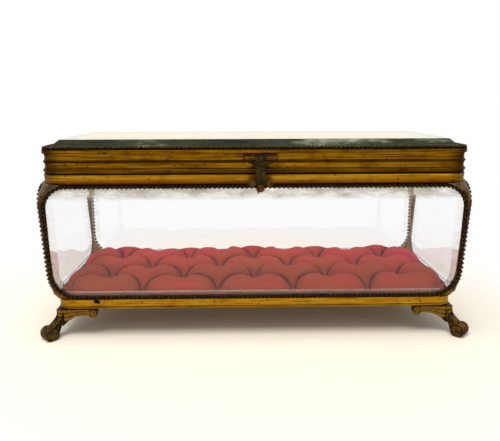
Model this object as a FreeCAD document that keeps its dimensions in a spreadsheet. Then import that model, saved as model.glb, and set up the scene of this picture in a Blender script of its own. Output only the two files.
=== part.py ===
# Gilt and glass jewelry box: hinged lid, glazed case on scroll feet, tufted cushion, front hasp.
# Millimetres, +Z up, origin on the floor under the middle of the box, front towards -Y.
import FreeCAD
import Part
import Sketcher

import math
import os
import re
from FreeCAD import Placement, Rotation, Vector

SIZES = {
    # lid
    "lid_length": 292.0,
    "lid_depth": 112.0,
    "lid_height": 15.7,
    "lid_wall": 5.0,
    "inner_corner": 1.2,
    "seam_gap": 0.3,
    "reed_depth": 1.0,
    "lower_reed": 2.1,
    "upper_reed": 1.4,
    "lower_cove": 4.0,
    "fascia": 4.8,
    "lid_foot": 1.2,
    "lid_glass_edge": 1.6,
    "lid_glass_rise": 7.3,
    "lid_bevel": 8.45,
    "lid_border_width": 2.4,
    "lid_border_thickness": 1.2,
    "lid_border_inset": 0.4,
    "glass_lap": 0.8,
    # case, from the floor up
    "foot_height": 20.7,
    "rail_height": 8.1,
    "rail_inset": 2.6,
    "rail_width": 8.0,
    "rail_cornice": 2.2,
    "rail_bead": 1.8,
    "panel_height": 83.3,
    "panel_tilt": 2.5,
    "rim_height": 6.9,
    "rim_width": 6.0,
    "rim_taper": 0.7,
    "rim_lip": 0.5,
    "flare": 4.2,
    # corner posts
    "post_wall": 1.5,
    "post_corner": 2.6,
    "post_tuck": 3.0,
    "post_toe": 14.0,
    "post_shoulder": 13.0,
    "post_crown": 24.0,
    # glazed panels
    "front_margin": 2.0,
    "side_margin": 3.0,
    "border_width": 2.2,
    "border_proud": 0.3,
    "border_depth": 1.7,
    "opening_corner_top": 15.0,
    "opening_corner_bottom": 18.0,
    "panel_glass": 2.8,
    "panel_glass_edge": 1.0,
    "panel_bevel": 6.2,
    "glass_gap": 0.3,
    "fit_gap": 0.1,
    "clip_width": 8.0,
    "clip_thickness": 0.7,
    "clip_reach": 2.9,
    "front_clip_inset": 54.0,
    "side_clip_inset": 25.0,
    # floor and cushion
    "floor_thickness": 1.8,
    "floor_ledge": 4.0,
    "board_thickness": 1.5,
    "board_inset": 4.0,
    "cushion_inset": 7.0,
    "cushion_gap": 0.3,
    "cushion_crown": 10.0,
    "cushion_edge": 3.0,
    "cushion_drawn_in": 2.0,
    "tuft_columns": 5,
    "tuft_rows": 3,
    "tuft_depth": 7.5,
    "tuft_width": 4.0,
    "crease_depth": 4.0,
    # scroll feet
    "wing_length": 25.2,
    "wing_thickness": 5.0,
    "wing_proud": 0.6,
    "wing_scroll": 3.4,
    "leg_width": 8.0,
    "toe_radius": 4.6,
    "toe_length": 11.0,
    "toe_reach": 7.1,
    "sole_cut": 0.3,
    # lid hinges
    "hinge_spacing": 170.0,
    "knuckle_length": 10.0,
    "knuckle_radius": 2.4,
    "knuckle_gap": 0.2,
    "pin_radius": 1.2,
    "pin_head": 0.8,
    "running_fit": 0.05,
    "turning_gap": 0.3,
    "leaf_thickness": 1.0,
    "case_leaf_drop": 5.4,
    "lid_leaf_rise": 8.8,
    "rivet_head": 1.2,
    "rivet_shank": 0.7,
    "rivet_dome": 0.5,
    "rivet_spacing": 20.0,
    # hasp and catch
    "clasp_offset": 3.0,
    "hasp_axis_rise": 10.0,
    "hasp_plate_length": 24.0,
    "hasp_plate_height": 2.8,
    "hasp_plate_thickness": 0.8,
    "hasp_knuckle_length": 8.1,
    "hasp_knuckle_radius": 1.5,
    "hasp_pin_radius": 0.6,
    "hasp_shoulder": 16.4,
    "hasp_neck": 6.8,
    "hasp_strap": 0.85,
    "hasp_length": 22.2,
    "hasp_end": 2.6,
    "hasp_knob": 2.3,
    "hasp_knob_height": 1.7,
    "catch_plate": 0.8,
    "catch_standoff": 1.3,
    "catch_shelf": 1.4,
    "catch_lobe": 2.5,
    "catch_lobe_rise": 3.0,
    "catch_lobe_round": 3.6,
    "catch_tip": 7.4,
    "catch_skew": 1.8,
    "cheek_gap": 0.15,
}

doc = FreeCAD.newDocument("jewelry_box")
dims = doc.addObject("Spreadsheet::Sheet", "dims")
for row, (alias, number) in enumerate(SIZES.items(), start=1):
    dims.set(f"A{row}", alias)
    dims.set(f"B{row}", str(number))
    dims.setAlias(f"B{row}", alias)
doc.recompute()

# Places worked out from the driving sizes, as text for the expressions below.
HALF_LENGTH = "lid_length / 2"
HALF_DEPTH = "lid_depth / 2"
RAIL_TOP = "(foot_height + rail_height)"
RIM_BOTTOM = f"({RAIL_TOP} + panel_height)"
SEAM = f"({RIM_BOTTOM} + rim_height)"
LID_BOTTOM = f"({SEAM} + seam_gap)"
LID_TOP = f"({LID_BOTTOM} + lid_height)"
LEAN = "(panel_height * tan(panel_tilt))"
HINGE_Y = f"({HALF_DEPTH} + knuckle_radius + fit_gap)"
HINGE_Z = f"({SEAM} + seam_gap / 2)"
HASP_Y = f"(-{HALF_DEPTH} - hasp_plate_thickness - hasp_knuckle_radius + 2 * fit_gap)"
HASP_Z = f"({LID_BOTTOM} + hasp_axis_rise)"

pieces = {}


def bound(text):
    # Expression text with every driving size written as a cell of the sheet.
    return re.sub(r"[a-z_]+", lambda word: f"dims.{word[0]}" if word[0] in SIZES else word[0], str(text))


def size(text):
    # The value of an expression now.
    return float(dims.evalExpression(bound(text)))


def bind(thing, **properties):
    for name, text in properties.items():
        thing.setExpression(name.replace("_dot_", "."), bound(text))


def place(thing, x="0", y="0", z="0"):
    bind(thing, Placement_dot_Base_dot_x=x, Placement_dot_Base_dot_y=y, Placement_dot_Base_dot_z=z)


def keep(label, thing):
    # A finished sub-part, under the name of its file.
    thing.Label = label
    pieces[label] = thing
    return thing


def new_body(name):
    return doc.addObject("PartDesign::Body", name)


def new_sketch(body, role, across="0", up="0", out="0", turn_axis=Vector(1, 0, 0), turn="0"):
    # A sketch on one of the body's own planes, moved in that plane, lifted off it and turned.
    sketch = body.newObject("Sketcher::SketchObject", f"{body.Name}_sketch")
    plane = next(feature for feature in body.Origin.OriginFeatures if feature.Role == role)
    sketch.AttachmentSupport = [(plane, "")]
    sketch.MapMode = "FlatFace"
    sketch.AttachmentOffset = Placement(Vector(), Rotation(turn_axis, 1.0))
    bind(
        sketch,
        AttachmentOffset_dot_Base_dot_x=across,
        AttachmentOffset_dot_Base_dot_y=up,
        AttachmentOffset_dot_Base_dot_z=out,
        AttachmentOffset_dot_Rotation_dot_Angle=turn,
    )
    return sketch


def bind_constraint(sketch, text, *constraint):
    index = sketch.addConstraint(Sketcher.Constraint(*constraint, size(text)))
    sketch.setExpression(f"Constraints[{index}]", bound(text))


def pin_point(sketch, geometry, end, x, y):
    # Holds one end of a curve at (x, y); distances are written as positive sizes.
    for kind, text in (("DistanceX", x), ("DistanceY", y)):
        if size(text) < 0:
            bind_constraint(sketch, f"-({text})", kind, geometry, end, -1, 1)
        else:
            bind_constraint(sketch, text, kind, -1, 1, geometry, end)


def arc_between(start, end, radius, hollow):
    # Arc under half a turn; an anticlockwise outline bulges out unless the arc is hollow.
    middle = (start + end) * 0.5
    left = Vector(start.y - end.y, end.x - start.x, 0).normalize()
    rise = math.sqrt(max(radius ** 2 - (start.distanceToPoint(end) / 2) ** 2, 0.0))
    centre = middle + left * (-rise if hollow else rise)
    first, last = (end, start) if hollow else (start, end)
    angles = [math.atan2(point.y - centre.y, point.x - centre.x) for point in (first, last)]
    return Part.ArcOfCircle(Part.Circle(centre, Vector(0, 0, 1), radius), *angles)


def draw(sketch, nodes):
    # Closed outline, anticlockwise: (x, y), or (x, y, radius) for an arc to the next node,
    # or (x, y, radius, True) for a hollow arc.
    points = [Vector(size(node[0]), size(node[1]), 0) for node in nodes]
    runs = []
    for index, node in enumerate(nodes):
        start = points[index]
        end = points[(index + 1) % len(nodes)]
        if len(node) == 2:
            runs.append((sketch.addGeometry(Part.LineSegment(start, end), False), 1, 2))
            continue
        hollow = len(node) == 4
        geometry = sketch.addGeometry(arc_between(start, end, size(node[2]), hollow), False)
        runs.append((geometry, 2, 1) if hollow else (geometry, 1, 2))
        bind_constraint(sketch, node[2], "Radius", geometry)
    for index, (geometry, head, tail) in enumerate(runs):
        after = runs[(index + 1) % len(runs)]
        sketch.addConstraint(Sketcher.Constraint("Coincident", geometry, tail, after[0], after[1]))
        pin_point(sketch, geometry, head, nodes[index][0], nodes[index][1])
    return sketch


def rounded(half, low, high, low_radius, high_radius):
    # Rounded rectangle, even about x = 0.
    return [
        (f"-({half}) + ({low_radius})", low),
        (f"({half}) - ({low_radius})", low, low_radius),
        (half, f"({low}) + ({low_radius})"),
        (half, f"({high}) - ({high_radius})", high_radius),
        (f"({half}) - ({high_radius})", high),
        (f"-({half}) + ({high_radius})", high, high_radius),
        (f"-({half})", f"({high}) - ({high_radius})"),
        (f"-({half})", f"({low}) + ({low_radius})", low_radius),
    ]


def plan(half_length, half_depth, radius):
    return rounded(half_length, f"-({half_depth})", half_depth, radius, radius)


def pad(body, sketch, length, reverse=False, even=False):
    feature = body.newObject("PartDesign::Pad", f"{body.Name}_pad")
    feature.Profile = sketch
    feature.Reversed = reverse
    feature.Midplane = even
    bind(feature, Length=length)
    return feature


def loft(body, kind, sketches):
    feature = body.newObject(f"PartDesign::{kind}", f"{body.Name}_loft")
    feature.Profile = sketches[0]
    feature.Sections = sketches[1:]
    feature.Ruled = True
    return feature


def box(name, x, y, z, length, width, height):
    solid = doc.addObject("Part::Box", name)
    bind(solid, Length=length, Width=width, Height=height)
    place(solid, x, y, z)
    return solid


def rod(name, along, x, y, z, radius, length):
    # Cylinder from (x, y, z) along the X or Y axis.
    solid = doc.addObject("Part::Cylinder", name)
    turns = {"X": Rotation(Vector(0, 1, 0), 90), "Y": Rotation(Vector(1, 0, 0), -90)}
    solid.Placement = Placement(Vector(), turns[along])
    bind(solid, Radius=radius, Height=length)
    place(solid, x, y, z)
    return solid


def fuse(name, solids):
    thing = doc.addObject("Part::MultiFuse", name)
    thing.Shapes = solids
    return thing


def group(name, solids):
    # Separate solids that share one node.
    thing = doc.addObject("Part::Compound", name)
    thing.Links = solids
    return thing


def cut(name, base, tool):
    thing = doc.addObject("Part::Cut", name)
    thing.Base = base
    thing.Tool = tool
    return thing


def common(name, base, tool):
    thing = doc.addObject("Part::Common", name)
    thing.Base = base
    thing.Tool = tool
    return thing


def mirrored(name, source, normal):
    thing = doc.addObject("Part::Mirroring", name)
    thing.Source = source
    thing.Normal = normal
    return thing


def four_corners(stem, front_left):
    # The front left piece and its copies at the other corners.
    across = Vector(1, 0, 0)
    back = Vector(0, 1, 0)
    keep(f"{stem}_front_left", front_left)
    keep(f"{stem}_front_right", mirrored(f"{stem}_fr", front_left, across))
    rear_left = keep(f"{stem}_rear_left", mirrored(f"{stem}_rl", front_left, back))
    keep(f"{stem}_rear_right", mirrored(f"{stem}_rr", rear_left, across))


def moulded_ring(label, half_length, half_depth, profile):
    # Moulding swept round a rectangle with the ring's inner size; profile nodes are (out, height, ...)
    # measured outwards from that rectangle, at the middle of the rear side.
    body = new_body(label)
    path = new_sketch(body, "XY_Plane")
    nodes = plan(half_length, half_depth, "inner_corner")
    draw(path, [("0", half_depth)] + nodes[5:] + nodes[:5])
    section = new_sketch(body, "YZ_Plane")
    draw(section, [(f"{half_depth} + {out}", height, *bend) for out, height, *bend in profile])
    sweep = body.newObject("PartDesign::AdditivePipe", f"{label}_sweep")
    sweep.Profile = section
    sweep.Spine = (path, [f"Edge{number}" for number in range(1, len(nodes) + 2)])
    return body


def make_lower_rail():
    face = "rail_width"
    bead_top = "foot_height + rail_bead"
    rail = moulded_ring(
        "rail_ring",
        f"{HALF_LENGTH} - rail_inset - rail_width",
        f"{HALF_DEPTH} - rail_inset - rail_width",
        [
            ("0", "foot_height"),
            (f"{face} - fit_gap", "foot_height", "rail_bead * 0.55"),
            (f"{face} - fit_gap", bead_top),
            (face, bead_top),
            (face, f"{RAIL_TOP} - rail_cornice", "rail_cornice", True),
            (f"{face} + rail_cornice", RAIL_TOP),
            ("floor_ledge", RAIL_TOP),
            ("floor_ledge", f"{RAIL_TOP} - floor_thickness"),
            ("0", f"{RAIL_TOP} - floor_thickness"),
        ],
    )
    keep("lower_rail", rail)


def make_upper_rim():
    # The lip that covers the frame's top is trimmed to the frame's rounded corners.
    edge = "fit_gap * 5"
    rim = moulded_ring(
        "rim_ring",
        f"{HALF_LENGTH} - rim_width",
        f"{HALF_DEPTH} - rim_width",
        [
            ("0", RIM_BOTTOM),
            ("rim_width + flare", RIM_BOTTOM),
            ("rim_width + flare", f"{RIM_BOTTOM} + rim_lip"),
            ("rim_width - rim_taper", f"{RIM_BOTTOM} + 2 * rim_lip"),
            ("rim_width", f"{SEAM} - {edge}"),
            (f"rim_width - {edge}", SEAM),
            ("0", SEAM),
        ],
    )
    outline = new_body("rim_outline")
    sketch = new_sketch(outline, "XY_Plane", out=RIM_BOTTOM)
    draw(sketch, plan(f"{HALF_LENGTH} + flare", f"{HALF_DEPTH} + flare", "post_crown"))
    pad(outline, sketch, "rim_height")
    keep("upper_rim", common("rim_trimmed", rim, outline))


def make_lid_frame():
    # Two reeds with a cove between them, a hollow fascia above, and a rebate for the glass.
    base = "lid_wall - reed_depth"
    first = f"{LID_BOTTOM} + lid_foot"
    second = f"{first} + lower_reed"
    third = f"{second} + lower_cove"
    fourth = f"{third} + upper_reed"
    fifth = f"{fourth} + fascia"
    ledge = f"{LID_TOP} - lid_glass_rise * glass_lap / lid_bevel - lid_glass_edge - fit_gap"
    rebate = "lid_wall - lid_border_inset - lid_border_width + glass_lap + fit_gap"
    frame = moulded_ring(
        "lid_ring",
        f"{HALF_LENGTH} - lid_wall",
        f"{HALF_DEPTH} - lid_wall",
        [
            ("0", LID_BOTTOM),
            (base, LID_BOTTOM),
            (base, first, "lower_reed * 0.51"),
            (base, second, "lower_cove", True),
            (base, third, "upper_reed * 0.51"),
            (base, fourth, "fascia", True),
            (base, fifth),
            ("lid_wall", fifth),
            ("lid_wall", LID_TOP),
            (rebate, LID_TOP),
            (rebate, ledge),
            ("0", ledge),
        ],
    )
    keep("lid_frame", frame)


def make_lid_border():
    body = new_body("lid_border")
    sketch = new_sketch(body, "XY_Plane", out=LID_TOP)
    corner = "inner_corner + lid_wall - lid_border_inset"
    for inset in ("lid_border_inset", "lid_border_inset + lid_border_width"):
        radius = f"{corner} - ({inset})"
        draw(sketch, plan(f"{HALF_LENGTH} - ({inset})", f"{HALF_DEPTH} - ({inset})", radius))
    pad(body, sketch, "lid_border_thickness")
    keep("lid_border", body)


def make_lid_glass():
    body = new_body("lid_glass")
    inset = "(lid_border_inset + lid_border_width - glass_lap)"
    corner = f"inner_corner + lid_wall - {inset}"
    edge_top = f"{LID_TOP} - lid_glass_rise * glass_lap / lid_bevel - fit_gap / 2"
    outlines = []
    for in_by, radius, height in (
        (inset, corner, f"{edge_top} - lid_glass_edge"),
        (inset, corner, edge_top),
        (f"{inset} + lid_bevel", "inner_corner", f"{edge_top} + lid_glass_rise"),
    ):
        sketch = new_sketch(body, "XY_Plane", out=height)
        outlines.append(draw(sketch, plan(f"{HALF_LENGTH} - ({in_by})", f"{HALF_DEPTH} - ({in_by})", radius)))
    loft(body, "AdditiveLoft", outlines)
    keep("lid_glass", body)


def frame_levels():
    # Levels of the case's flared frame: height, reach beyond the rim and corner radius.
    def reach(height):
        return f"flare - ({RIM_BOTTOM} - ({height})) * tan(panel_tilt)"

    toe = f"{RAIL_TOP} + post_toe"
    shoulder = f"{RIM_BOTTOM} - post_shoulder"
    neck = f"{RIM_BOTTOM} - post_shoulder / 2"
    return [
        (RAIL_TOP, f"{reach(RAIL_TOP)} - post_tuck", "post_corner + post_tuck"),
        (f"{RAIL_TOP} + post_toe / 4", f"{reach(RAIL_TOP)} - post_tuck / 3", "post_corner + post_tuck / 2"),
        (toe, reach(toe), "post_corner"),
        (shoulder, reach(shoulder), "post_corner"),
        (neck, reach(neck), "(2 * post_corner + post_crown) / 3"),
        (RIM_BOTTOM, "flare", "post_crown"),
    ]


def make_frame_shell():
    body = new_body("frame_shell")
    for kind, in_by in (("AdditiveLoft", "0"), ("SubtractiveLoft", "post_wall")):
        outlines = []
        for height, reach, corner in frame_levels():
            sketch = new_sketch(body, "XY_Plane", out=height)
            half_length = f"{HALF_LENGTH} + {reach} - {in_by}"
            half_depth = f"{HALF_DEPTH} + {reach} - {in_by}"
            outlines.append(draw(sketch, plan(half_length, half_depth, f"{corner} - {in_by}")))
        loft(body, kind, outlines)
    return body


def panel_sketch(body, half_depth, recess):
    # A sketch in a panel's leaning plane, set back from the frame's face; its x axis runs along the
    # panel's foot and its y axis up the panel.
    foot = f"{half_depth} + flare - {LEAN}"
    return new_sketch(
        body,
        "XZ_Plane",
        up=f"{RAIL_TOP} + ({recess}) * sin(panel_tilt)",
        out=f"{foot} - ({recess}) * cos(panel_tilt)",
        turn="panel_tilt",
    )


def panel_outline(clear, grow):
    # The panel's clear opening, grown outwards all round.
    top = "panel_height / cos(panel_tilt) - border_width"
    return rounded(
        f"{clear} + ({grow})",
        f"border_width - ({grow})",
        f"{top} + ({grow})",
        f"opening_corner_bottom + ({grow})",
        f"opening_corner_top + ({grow})",
    )


def make_panel(side, half_depth, clear, turn):
    # Border, glass and the tool that opens the frame for them, in one of the case's walls.
    stance = Placement(Vector(), Rotation(Vector(0, 0, 1), turn))
    border = new_body(f"{side}_border")
    sketch = panel_sketch(border, half_depth, "border_depth")
    draw(sketch, panel_outline(clear, "border_width - fit_gap"))
    draw(sketch, panel_outline(clear, "0"))
    pad(border, sketch, "border_depth + border_proud")

    glass = new_body(f"{side}_glass")
    front = "border_depth + glass_gap"
    rise = "panel_glass - panel_glass_edge"
    outlines = []
    for recess, grow in (
        (f"{front} + panel_glass_edge", "glass_lap"),
        (front, "glass_lap"),
        (f"{front} - ({rise})", "glass_lap - panel_bevel"),
    ):
        outlines.append(draw(panel_sketch(glass, half_depth, recess), panel_outline(clear, grow)))
    loft(glass, "AdditiveLoft", outlines)

    opening = new_body(f"{side}_opening")
    sketch = panel_sketch(opening, half_depth, "opening_corner_top")
    draw(sketch, panel_outline(clear, "border_width + fit_gap"))
    pad(opening, sketch, "2 * opening_corner_top")
    for body in (border, glass, opening):
        body.Placement = stance
    keep(f"{side}_border", border)
    keep(f"{side}_glass", glass)
    return opening


def make_clips(side, half_depth, spacing, turn):
    # Tabs that hold the glass from behind: three under the rim and three on the rail.
    back = "border_depth + glass_gap + panel_glass_edge + fit_gap"
    bodies = []
    for index in (-1, 0, 1):
        for up in ("fit_gap / 2", "panel_height / cos(panel_tilt) - clip_reach - glass_gap"):
            body = new_body(f"{side}_clip")
            sketch = panel_sketch(body, half_depth, back)
            left = f"{index} * {spacing} - clip_width / 2"
            right = f"{index} * {spacing} + clip_width / 2"
            tip = f"{up} + clip_reach"
            draw(sketch, [(left, up), (right, up), (right, tip), (left, tip)])
            pad(body, sketch, "clip_thickness", reverse=True)
            body.Placement = Placement(Vector(), Rotation(Vector(0, 0, 1), turn))
            bodies.append(body)
    return keep(f"{side}_clips", group(f"{side}_clip_group", bodies))


def make_case_frame():
    # Only the front and left walls are drawn; the rear and right ones are their mirror images.
    front_clear = f"({HALF_LENGTH} - front_margin)"
    side_clear = f"({HALF_DEPTH} - side_margin)"
    walls = {
        "front": (HALF_DEPTH, front_clear, "front_clip_inset", 0, "rear", Vector(0, 1, 0)),
        "left": (HALF_LENGTH, side_clear, "side_clip_inset", -90, "right", Vector(1, 0, 0)),
    }
    openings = []
    for side, (half_depth, clear, inset, turn, far_side, normal) in walls.items():
        openings.append(make_panel(side, half_depth, clear, turn))
        make_clips(side, half_depth, f"({clear} - {inset})", turn)
        for stem in ("border", "glass", "clips"):
            keep(f"{far_side}_{stem}", mirrored(f"{far_side}_{stem}_copy", pieces[f"{side}_{stem}"], normal))
    quarter = box(
        "front_left_quarter",
        f"-{HALF_LENGTH} - 2 * flare",
        f"-{HALF_DEPTH} - 2 * flare",
        "0",
        f"{HALF_LENGTH} + 2 * flare",
        f"{HALF_DEPTH} + 2 * flare",
        LID_TOP,
    )
    # Under each opening nothing of the frame is left standing on the rail.
    sill = "border_width / 2"
    for name, x, y, length, width in (
        ("front_sill", f"-{HALF_LENGTH} + front_margin + opening_corner_bottom", f"-{HALF_DEPTH} - 2 * flare",
         HALF_LENGTH, "2 * flare + post_corner + post_tuck + 2 * post_wall"),
        ("left_sill", f"-{HALF_LENGTH} - 2 * flare", f"-{HALF_DEPTH} + side_margin + opening_corner_bottom",
         "2 * flare + post_corner + post_tuck + 2 * post_wall", HALF_DEPTH),
    ):
        openings.append(box(name, x, y, f"{RAIL_TOP} - {sill}", length, width, f"2 * {sill}"))
    post = common("post_blank", make_frame_shell(), quarter)
    for opening in openings:
        post = cut(f"post_less_{opening.Name}", post, opening)
    four_corners("corner_post", post)


def make_floor():
    inner = "rail_inset + rail_width - floor_ledge + fit_gap"
    levels = (
        ("floor_plate", inner, f"{RAIL_TOP} - floor_thickness", "floor_thickness"),
        ("cushion_board", f"{inner} + board_inset", RAIL_TOP, "board_thickness"),
    )
    corner = "inner_corner + floor_ledge"
    for label, inset, height, thickness in levels:
        body = new_body(label)
        sketch = new_sketch(body, "XY_Plane", out=height)
        draw(sketch, plan(f"{HALF_LENGTH} - ({inset})", f"{HALF_DEPTH} - ({inset})", corner))
        pad(body, sketch, thickness)
        keep(label, body)


def cushion_section(row_step, half_length, base, columns):
    # One upright section of the cushion, from left to right over the puffs and back along the bottom.
    # Even steps run through a row of tufts, odd ones halfway between two rows; step 0 and the last
    # step are the front and rear edges, where the pleats take the place of tufts.
    steps = 4 * (int(size("tuft_rows")) + 1) // 2
    at_edge = row_step in (0, steps)
    on_row = row_step % 2 == 0
    row_is_even = (row_step // 2) % 2 == 0
    half_pitch = half_length / columns
    tuft_half = size("tuft_width") / 2
    crown = base + (size("cushion_edge") + size("tuft_width") / 2 if at_edge else size("cushion_crown"))
    valley = base + size("cushion_edge")
    if not at_edge:
        valley = crown - size("tuft_depth" if on_row else "crease_depth")
    side = base + size("cushion_edge")

    centres = [(index - columns) * half_pitch for index in range(2 * columns + 1)]
    tufted = [on_row and (index % 2 == 0) == row_is_even for index in range(2 * columns + 1)]
    ends = [-half_length]
    for index in range(2 * columns):
        if tufted[index]:
            ends.append(centres[index] + tuft_half)
        elif tufted[index + 1]:
            ends.append(centres[index + 1] - tuft_half)
        else:
            ends.append((centres[index] + centres[index + 1]) / 2)
    ends.append(half_length)

    heights = [side] + [valley] * (2 * columns) + [side]
    edges = []
    for index in range(2 * columns + 1):
        start = Vector(ends[index], 0, heights[index])
        end = Vector(ends[index + 1], 0, heights[index + 1])
        peak = (start + end) * 0.5
        span = start.distanceToPoint(end)
        peak.z = min(crown, peak.z + span / 3) if not tufted[index] else peak.z - span / 10
        edges.append(Part.Arc(start, peak, end).toShape())
    drawn_in = half_length - size("cushion_drawn_in")
    corners = [
        Vector(half_length, 0, side),
        Vector(drawn_in, 0, base),
        Vector(-drawn_in, 0, base),
        Vector(-half_length, 0, side),
    ]
    edges += [Part.makeLine(first, second) for first, second in zip(corners, corners[1:])]
    return Part.Wire(edges)


def make_cushion():
    # Diamond tufting: puffs between staggered rows of tufts, lofted from front to rear.
    half_length = size(f"{HALF_LENGTH} - cushion_inset")
    half_depth = size(f"{HALF_DEPTH} - cushion_inset")
    base = size(f"{RAIL_TOP} + board_thickness + cushion_gap")
    steps = 4 * (int(size("tuft_rows")) + 1) // 2
    wires = []
    for row_step in range(steps + 1):
        wire = cushion_section(row_step, half_length, base, int(size("tuft_columns")))
        wire.translate(Vector(0, half_depth * (2 * row_step / steps - 1), 0))
        wires.append(wire)
    cushion = doc.addObject("Part::Feature", "cushion")
    cushion.Shape = Part.makeLoft(wires, True, True)
    cushion.Placement = Placement()
    keep("cushion", cushion)


def make_feet():
    # Origin of the foot: the square corner of the rail's outline, at the rail's underside.
    body = new_body("foot")
    scroll = "wing_scroll"
    scroll_x = "wing_length"
    wing = [
        (scroll_x, "0"),
        ("0", "0"),
        ("-toe_reach / 4", "-foot_height * 0.45"),
        ("toe_reach / 2", "-foot_height * 0.62", "foot_height", True),
        (f"{scroll_x} - {scroll} * cos(25)", f"-{scroll} - {scroll} * sin(25)", scroll),
        (scroll_x, f"-2 * {scroll}", scroll),
        (f"{scroll_x} + {scroll}", f"-{scroll}", scroll),
    ]
    front = draw(new_sketch(body, "XZ_Plane", out="wing_proud"), wing)
    pad(body, front, "wing_thickness", reverse=True)
    side = draw(new_sketch(body, "YZ_Plane", out="-wing_proud"), wing)
    pad(body, side, "wing_thickness")

    # The leg and the rolled toe lie in the upright plane through the corner's diagonal.
    toe_centre = "-foot_height + toe_radius - sole_cut"
    upright = Vector(0, 1, 0)
    leg = draw(
        new_sketch(body, "XZ_Plane", turn_axis=upright, turn="45"),
        [
            ("2 * toe_reach", "0"),
            ("toe_reach / 2", "0", "foot_height * 0.9", True),
            ("-toe_reach", f"{toe_centre} + toe_radius * 0.9"),
            ("-toe_reach", f"{toe_centre} - toe_radius * 0.8"),
            ("-toe_reach / 3", f"{toe_centre} - toe_radius * 0.5", "foot_height * 1.4", True),
        ],
    )
    pad(body, leg, "leg_width", even=True)
    toe = draw(
        new_sketch(body, "XZ_Plane", turn_axis=upright, turn="45"),
        [
            ("-toe_reach + toe_radius", toe_centre, "toe_radius"),
            ("-toe_reach", f"{toe_centre} + toe_radius", "toe_radius"),
            ("-toe_reach - toe_radius", toe_centre, "toe_radius"),
            ("-toe_reach", f"{toe_centre} - toe_radius", "toe_radius"),
        ],
    )
    pad(body, toe, "toe_length", even=True)

    # The flat sole that stands on the floor.
    sole = new_sketch(body, "XY_Plane", out="-foot_height")
    spread = "toe_reach + toe_length"
    draw(sole, rounded(spread, f"-({spread})", spread, "inner_corner", "inner_corner"))
    flat = body.newObject("PartDesign::Pocket", "foot_sole")
    flat.Profile = sole
    flat.Type = "Length"
    bind(flat, Length="toe_radius")
    place(body, f"-{HALF_LENGTH} + rail_inset", f"-{HALF_DEPTH} + rail_inset", "foot_height")
    four_corners("foot", body)


def rivets(label, spots):
    # Domed rivets through the hinge leaves, at these (x, z) places.
    solids = []
    for x, z in spots:
        shank = rod("rivet_shank", "Y", x, HALF_DEPTH, z, "rivet_shank", "leaf_thickness")
        head = rod("rivet_head", "Y", x, f"{HALF_DEPTH} + leaf_thickness", z, "rivet_head", "rivet_dome")
        solids.append(fuse("rivet", [shank, head]))
    return keep(label, group(f"{label}_group", solids))


def rivet_hole(x, z):
    return rod("rivet_hole", "Y", x, HALF_DEPTH, z, "rivet_shank + running_fit", "leaf_thickness")


def make_lid_hinges():
    # Each hinge has two knuckles on the case leaf, one on the lid leaf and a headed pin.
    total = "3 * knuckle_length"
    case_z = f"{SEAM} - case_leaf_drop * 0.7"
    lid_z = f"{LID_BOTTOM} + lid_leaf_rise * 0.7"
    spots = {"case": [], "lid": []}
    for side, sign in (("left", -1), ("right", 1)):
        middle = f"{sign} * hinge_spacing / 2"
        start = f"{middle} - 1.5 * knuckle_length"
        knuckles = [
            rod(f"{side}_knuckle", "X", f"{start} + {index} * knuckle_length + knuckle_gap / 2",
                HINGE_Y, HINGE_Z, "knuckle_radius", "knuckle_length - knuckle_gap")
            for index in range(3)
        ]
        rooms = [
            rod(f"{side}_room", "X", f"{start} + {index} * knuckle_length - knuckle_gap / 2",
                HINGE_Y, HINGE_Z, "knuckle_radius + turning_gap", "knuckle_length + knuckle_gap")
            for index in range(3)
        ]
        bore = rod(f"{side}_bore", "X", f"{start} - knuckle_gap", HINGE_Y, HINGE_Z,
                   "pin_radius + running_fit", f"{total} + 2 * knuckle_gap")
        plates = {
            "case": box(f"{side}_case_plate", start, HALF_DEPTH, f"{SEAM} - case_leaf_drop",
                        total, "leaf_thickness", "case_leaf_drop + seam_gap / 2"),
            "lid": box(f"{side}_lid_plate", start, HALF_DEPTH, HINGE_Z,
                       total, "leaf_thickness", "lid_leaf_rise + seam_gap / 2"),
        }
        turning = {"case": (knuckles[0::2], [rooms[1]]), "lid": ([knuckles[1]], rooms[0::2])}
        for owner, height in (("case", case_z), ("lid", lid_z)):
            own, others = turning[owner]
            here = [(f"{middle} + {way} * rivet_spacing / 2", height) for way in (-1, 1)]
            spots[owner] += here
            holes = [rivet_hole(x, z) for x, z in here]
            cleared = group(f"{side}_{owner}_rooms", others + holes)
            trimmed = cut(f"{side}_{owner}_trimmed", plates[owner], cleared)
            joined = fuse(f"{side}_{owner}_joined", [trimmed] + own)
            keep(f"hinge_{owner}_leaf_{side}", cut(f"{side}_{owner}_leaf", joined, bore))
        pin = rod(f"{side}_pin_stem", "X", f"{start} - pin_head", HINGE_Y, HINGE_Z, "pin_radius",
                  f"{total} + 2 * pin_head")
        heads = [
            rod(f"{side}_pin_cap", "X", x, HINGE_Y, HINGE_Z, "knuckle_radius * 0.75", "pin_head")
            for x in (f"{start} - pin_head", f"{start} + {total}")
        ]
        keep(f"hinge_pin_{side}", fuse(f"{side}_pin", [pin] + heads))
    for owner, here in spots.items():
        rivets(f"hinge_{owner}_rivets", here)


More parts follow.
